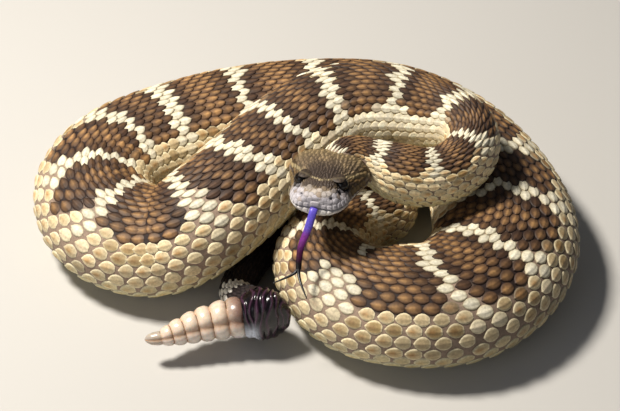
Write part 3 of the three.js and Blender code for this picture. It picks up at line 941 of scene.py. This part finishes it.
def scatter_head():
    """Places for small scales, each as far from its neighbours as wanted there."""
    way = unit(rng.normal(size=(44000, 3)))
    way = way[np.argsort(rng.random(len(way)))]
    local = march(HEAD_MIDDLE, way)
    gap, clear = head_grain(local)
    chosen = np.zeros((5000, 3))
    wanted = np.zeros(5000)
    count = 0
    for point, room in zip(local[clear], gap[clear]):
        d = np.linalg.norm(chosen[:count] - point, axis=1)
        if count and np.min(d - 0.5 * (wanted[:count] + room)) < 0:
            continue
        chosen[count] = point
        wanted[count] = room
        count += 1
    return chosen[:count], wanted[:count]


def head_normal(local):
    """Outward direction of the head's surface, from nearby points."""
    ray = unit(local - HEAD_MIDDLE)
    helper = np.where(np.abs(ray[..., 2:3]) < 0.9, [0, 0, 1.0], [1.0, 0, 0])
    e1 = unit(np.cross(ray, helper))
    e2 = np.cross(ray, e1)

    def slope(way):
        step = 0.03 * way
        return march(HEAD_MIDDLE, ray + step) - march(HEAD_MIDDLE, ray - step)

    normal = unit(np.cross(slope(e1), slope(e2)))
    return normal * np.sign((normal * ray).sum(-1, keepdims=True))


def head_leaves(local, gap, template, long, wide, height, contrast):
    """Scales standing on the head's surface at the places given."""
    normal = head_normal(local)
    backward = np.array([1.0, 0, 0]) + 0 * normal
    backward[:, 1] += 0.35 * np.sign(local[:, 1]) * smooth(np.abs(local[:, 1]), 4, 14)
    backward += rng.normal(scale=0.16, size=backward.shape)
    backward = unit(backward - normal * (backward * normal).sum(1, keepdims=True))
    sideways = np.cross(normal, backward)
    u, v, high = template[:3]
    x = (u - 0.5) * (long * gap)[:, None]
    y = v * (wide * gap)[:, None]
    flat = local[:, None] + backward[:, None] * x[..., None] + sideways[:, None] * y[..., None]
    lift = high * height * np.minimum(1, gap / 1.8)[:, None]
    points = dented(unit(flat - HEAD_MIDDLE)) + normal[:, None] * lift[..., None]
    base = head_colour(local) * (1 + 0.14 * rng.uniform(-1, 1, (len(local), 1)))
    shade = np.stack([base * (1 - contrast), base, np.clip(base * (1 + contrast), 0, 1)], 1)
    uv = patch_uv(head_root(local), u, v)
    return head_world(points), leaf_colours(shade, template), uv, len(LEAF_U)


def head_scales():
    keeled = leaf_template(0.5, across=np.array([-1.0, -0.7, -0.14, 0.0, 0.14, 0.7, 1.0]))
    pebble = leaf_template(0.0, PEBBLE_W, rise=0.22, dome=0.4)
    places, gaps = scatter_head()
    smooth_ones = on_muzzle(places) | (places[:, 2] < -2)
    left = places[:, 1] < 0
    small = (keeled, 1.5, 0.5, 0.32, 0.2)
    for name, chosen, shape in (
        ("head_scales_left", left & ~smooth_ones, small),
        ("head_scales_right", ~left & ~smooth_ones, small),
        ("muzzle_scales", smooth_ones, (pebble, 1.2, 0.62, 0.4, 0.08)),
    ):
        coat_piece(name, "head_skin", head_mat, *head_leaves(places[chosen], gaps[chosen], *shape))


head_scales()


# Larger smooth shields: along the lips, on the snout's tip and over the eyes
SHIELD_GRID = 9
PLATE_GAP = 0.015  # share of a lip plate's width left free at each end
UPPER_PLATES = 13
LOWER_PLATES = 12


def shield(turn0, turn1, up0, up1, bulge, colour):
    """A rounded plate between two turns and two heights on the head."""
    k = np.linspace(-1, 1, SHIELD_GRID)
    x, y = np.meshgrid(k, k, indexing="ij")
    turn = (turn0 + turn1) / 2 + x * np.sqrt(1 - 0.42 * np.abs(y) ** 2.6) * (turn1 - turn0) / 2
    up = (up0 + up1) / 2 + y * np.sqrt(1 - 0.42 * np.abs(x) ** 2.6) * (up1 - up0) / 2
    local = head_level(turn, up)
    ray = unit((local - [HEAD_MIDDLE[0], 0, 0]) * [1, 1, 0.6])
    rim = np.maximum(np.abs(x), np.abs(y))
    high = np.where(rim > 0.99, -0.2, bulge * (1 - 0.5 * rim ** 4))
    tone = colour * (1 - 0.14 * smooth(rim, 0.7, 1.0))[..., None]
    points = head_world(local + ray * high[..., None])
    uv = head_root(local[SHIELD_GRID // 2, SHIELD_GRID // 2]) + 0.0015 * np.stack([x, y], -1)
    return points.reshape(-1, 3), tone.reshape(-1, 3), uv.reshape(-1, 2)


def lip_turns(up, count):
    """Turns that divide the lip evenly, from beside the tip to the corner of the mouth."""
    turn = np.linspace(math.radians(9), math.radians(118), 200)
    d = running_length(head_level(turn, up))
    return np.interp(np.linspace(0, d[-1], count + 1), d, turn)


def lip_row(side, turns, low, tops, bulge, front, rear, fade, uneven):
    """Plates along one lip, changing colour from front to rear."""
    plates = []
    for i, top in enumerate(tops):
        gap = PLATE_GAP * (turns[i + 1] - turns[i])
        tone = mix(front, rear, smooth(i, *fade)) * (1 + uneven * rng.uniform(-1, 1))
        plates.append(shield(
            side * (turns[i] + gap), side * (turns[i + 1] - gap), low, top, bulge, tone))
    return plates


def lip_shields():
    number = np.arange(UPPER_PLATES)
    upper_tops = 1.9 + 0.5 * np.sin(math.pi * number / UPPER_PLATES)
    lower_tops = np.full(LOWER_PLATES, MOUTH_UP - 0.2)
    upper = lip_turns(1.4, UPPER_PLATES)
    lower = lip_turns(-1.4, LOWER_PLATES)
    plates = []
    for side in (-1, 1):
        plates += lip_row(
            side, upper, MOUTH_UP + 0.2, upper_tops, 0.27, rgb(184, 179, 183), rgb(112, 92, 60),
            (4.5, 8), 0.08)
        plates += lip_row(
            side, lower, -3.0, lower_tops, 0.24, rgb(208, 202, 198), rgb(150, 128, 92), (7, 11), 0.06)
    tip = math.radians(8)
    plates.append(shield(-tip, tip, MOUTH_UP + 0.9, 3.1, 0.5, rgb(182, 176, 180)))
    points, colours, uv = (np.stack(values) for values in zip(*plates))
    coat_piece("lip_shields", "lip_skin", head_mat, points, colours, uv, SHIELD_GRID)


lip_shields()


def ball(levels, segments, hole):
    """Directions over a ball from pole to pole; hole keeps them off the poles."""
    polar = np.linspace(hole, np.pi - hole, levels)
    pp, aa = np.meshgrid(polar, circle(segments), indexing="ij")
    return np.stack([np.sin(pp) * np.cos(aa), np.sin(pp) * np.sin(aa), np.cos(pp)], -1)


def brow_shields():
    way = ball(22, 40, 0.01)
    faces = grid_faces(*way.shape[:2], wrap=True)
    parts = []
    for side in (-1, 1):
        local = BROW_CENTRE + way * (brow_size(way) - 0.5)
        local = local - [0, 0, 0.10] * noise(local, 2.2, 5)[..., None]
        back, across = local[..., 0], local[..., 1]
        tone = dappled(noise(local, 1.4, 8), -0.2, 0.4, (48, 39, 33), (74, 60, 46))
        pale = bell(back - 9.4 - 0.40 * across, 0.6)
        rim = smooth(across - 0.5 * (back - 10), 9.2, 9.8) * (1 - smooth(back, 12, 14))
        tone = mix(tone, rgb(176, 160, 124), np.clip(pale * 0.15 + rim * 0.5, 0, 1))
        # painted shade on the underside of each brow shield
        tone = mix(tone, rgb(34, 27, 22), smooth(-way[..., 2], 0.1, 0.4))
        points = head_world(local * [1, side, 1]).reshape(-1, 3)
        uv = head_root(BROW_CENTRE * [1, side, 1]) + 0.0015 * way[..., :2].reshape(-1, 2)
        parts.append((points, faces, tone.reshape(-1, 3), uv))
    make_piece("brow_shields", "head_skin", head_mat, *join(parts))


brow_shields()


def eyes():
    shape = ball(48, 72, 0.001)
    faces = grid_faces(*shape.shape[:2], wrap=True)
    from_front = np.arccos(shape[..., 2])
    slit = np.hypot(shape[..., 1] / 0.24, shape[..., 0] / 0.72)
    for name, side in (("eye_left", -1), ("eye_right", 1)):
        out = unit(np.array([-0.42, side * 0.9, 0.12]))
        high = unit(np.array([0, 0, 1.0]) - out * out[2])
        way = shape @ np.stack([high, np.cross(high, out), out])
        cornea = 1 + 0.06 * bell(from_front, 0.5)
        local = EYE * [1, side, 1] + way * (EYE_RADIUS - 0.12) * cornea[..., None]
        # iris: its own dark bronze, darkened close to black with painted shade
        iris = dappled(noise(local, 0.8, 4), -0.3, 0.5, (16, 12, 10), (34, 26, 19))
        tone = mix(rgb(6, 5, 5), iris, smooth(slit, 0.9, 1.1))
        tone = mix(tone, rgb(12, 9, 8), smooth(from_front, 0.8, 1.0))
        obj = make_piece(name + "_ball", "eye", eye_mat, head_world(local), faces, tone)
        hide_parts(name)


eyes()


def rings(here, side, up, wide, high):
    """Rings of points round a line, from their reach to the side and up."""
    return here[:, None, :3] + side[:, None] * wide[..., None] + up[:, None] * high[..., None]


def rod(rows, width, steps, sides):
    """A flattened rod along rows of x, y, z and thickness, closed at its ends."""
    path = Spline(rows)
    here = path.at(np.linspace(0, path.end, steps))
    tangent = unit(np.gradient(here[:, :3], axis=0))
    side = unit(np.cross(tangent, [0, -0.5, 1.0]))
    up = np.cross(side, tangent)
    k = circle(sides)
    thick = here[:, 3:].copy()
    thick[[0, -1]] *= 0.05
    points = rings(here, side, up, np.sin(k) * thick * width, np.cos(k) * thick * 0.8)
    return points.reshape(-1, 3), grid_faces(steps, sides, wrap=True)


def tongue():
    branches = ((TONGUE_STEM, 1.65), (TONGUE_LEFT, 1.4), (TONGUE_RIGHT, 1.4))
    points, faces = join([rod(rows, width, 44, 20) for rows, width in branches])
    height = points[:, 2]
    tone = mix(rgb(10, 6, 9), rgb(62, 16, 48), smooth(height, 47, 50))
    tone = mix(tone, rgb(118, 44, 128), smooth(height, 50, 56))
    tone = mix(tone, rgb(92, 78, 186), smooth(height, 56, 60.5))
    obj = make_piece("tongue_forked", "tongue", tongue_mat, points, faces, tone)
    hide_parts("tongue")


tongue()


# Rattle: dark glossy beads at its root, pale see-through ones beyond
BEAD_STEPS = 20
LAST_BEAD = len(RATTLE) - 1


def bead_frames(path, bead, f):
    """Centre and size, and directions to the side and up, at shares f of the beads."""

    def way(joint):
        return (path.at(path.t[joint] + 0.1) - path.at(path.t[joint] - 0.1))[:, :3]

    here = path.at(path.t[bead] + (path.t[bead + 1] - path.t[bead]) * f)
    step = unit(way(bead) + f[:, None] * way(bead + 1))
    side = unit(np.cross(step, [0, 0, 1.0]))
    return here, side, np.cross(side, step)


def dark_horn(x, k, place):
    """Ridges and colour of the dark beads, with painted highlight on the ridge crests, pale low on the
    near side of the last ones.
    """
    wave = x * 2.4 + 1.5 * np.sin(2 * k + 0.4 * x) + 1.2 * np.sin(5 * k - 0.5 * x)
    wave = wave + 0.8 * np.sin(0.9 * x + 3 * k)
    ridge = np.clip(0.5 + 0.5 * np.sin(wave), 0, 1) ** 2
    # painted highlight: lighter along the ridge crests
    tone = mix(rgb(10, 5, 9), rgb(66, 38, 58), ridge ** 2)
    low_near = smooth(-np.sin(k), 0.1, 0.8) * smooth(-np.cos(k), -0.4, 0.3)
    return ridge, mix(tone, rgb(206, 212, 226), low_near * smooth(place, 2.2, 3.2) * 0.95)


def pale_horn(k, place, seam, valley):
    """Colour of the pale beads, brownish at seams, darker in the groove with painted shade, greyish at
    the tip.
    """
    top = np.cos(k)
    tone = mix(rgb(214, 202, 190), rgb(188, 140, 98), seam ** 2 * 0.75)
    tone = mix(tone, rgb(218, 184, 146), 0.35 * smooth(top, 0.2, 0.9))
    tone = mix(tone, rgb(172, 160, 146), smooth(place, LAST_BEAD - 1.2, LAST_BEAD - 0.8))
    # painted shade in the groove between the lobes
    tone = mix(tone, rgb(184, 142, 106), valley * 0.75)
    near_root = 1 - smooth(place, DARK_BEADS + 0.2, DARK_BEADS + 1.6)
    tone = mix(tone, rgb(104, 70, 62), near_root * smooth(top, -0.2, 0.6) * 0.85)
    return mix(tone, rgb(210, 214, 222), near_root * smooth(-top, 0.0, 0.7) * 0.6)


def rattle():
    path = Spline(RATTLE)
    k = circle(96)[None]
    valley = np.abs(np.cos(k - GROOVE_TURN)) ** 30
    for name, slot, material, beads, seam_depth, valley_depth, seam_power in (
        ("rattle_base", "rattle_dark", dark_horn_mat, range(DARK_BEADS), 0.03, 0.04, 4),
        ("rattle_beads", "rattle_pale", rattle_mat, range(DARK_BEADS, LAST_BEAD), 0.16, 0.15, 2.6),
    ):
        bead = np.repeat(beads, BEAD_STEPS)
        f = np.tile(np.linspace(0, 1, BEAD_STEPS), len(beads))
        here, side, up = bead_frames(path, bead, f)
        place = (bead + f)[:, None]
        seam = np.abs(2 * f - 1)[:, None] ** seam_power
        size = 1 - seam_depth * seam - valley_depth * valley
        size = size * np.sqrt(1 - ((place - LAST_BEAD + 0.45) / 0.45).clip(0, 1) ** 2)
        if name == "rattle_base":
            ridge, tone = dark_horn(here[:, :1], k, place)
            size = size * (0.95 + 0.045 * ridge)
            size[0] *= 0.02
        else:
            tone = pale_horn(k, place, seam, valley)
        wide = np.sin(k) * (here[:, 3:4] - 0.05) * size
        high = np.cos(k) * (here[:, 4:5] - 0.05) * size
        points = rings(here, side, up, wide, high)
        obj = make_piece(name, slot, material, points, grid_faces(*size.shape, wrap=True), tone)
        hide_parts(*(f"rattle_{i + 1}" for i in beads))


rattle()


# Floor, light and camera
bpy.ops.mesh.primitive_plane_add(size=6)
floor = bpy.context.object
floor.name = "floor"
floor_mat = bpy.data.materials.new("floor_pale")
floor_mat.use_nodes = True
set_inputs(floor_mat.node_tree.nodes["Principled BSDF"], {
    "Base Color": (0.50, 0.485, 0.46, 1), "Roughness": 0.85})
floor.data.materials.append(floor_mat)

world = bpy.data.worlds.new("studio")
world.use_nodes = True
set_inputs(world.node_tree.nodes["Background"], {"Color": (0.86, 0.91, 1.0, 1), "Strength": 0.11})
bpy.context.scene.world = world


def lamp(name, place, size, power, tint):
    light = bpy.data.lights.new(name, "AREA")
    light.size = size
    light.energy = power
    light.color = tint
    obj = bpy.data.objects.new(name, light)
    obj.location = place
    way = np.array([0, -0.01, 0.03]) - np.array(place)
    obj.rotation_euler = Vector(way).to_track_quat("-Z", "Y").to_euler()
    bpy.context.scene.collection.objects.link(obj)


lamp("key", (-0.43, 0.06, 0.87), 0.17, 15.8, (1.0, 0.95, 0.87))
lamp("fill", (-0.65, -0.8, 0.42), 0.7, 1.7, (0.95, 0.96, 1.0))

RISE = math.radians(43)
DISTANCE = 0.76
target = np.array([0, 0, 0.03]) + SHIFT * 0.001
cam = bpy.data.cameras.new("camera")
cam.lens = 100
cam.sensor_width = 36
cam.shift_x = 3 / 620
cam.shift_y = 6.5 / 620
cam.clip_start = 0.01
camera = bpy.data.objects.new("camera", cam)
camera.location = target + DISTANCE * np.array([0, -math.cos(RISE), math.sin(RISE)])
camera.rotation_euler = (math.pi / 2 - RISE, 0, 0)
bpy.context.scene.collection.objects.link(camera)
bpy.context.scene.camera = camera
bpy.context.scene.view_settings.view_transform = "Standard"
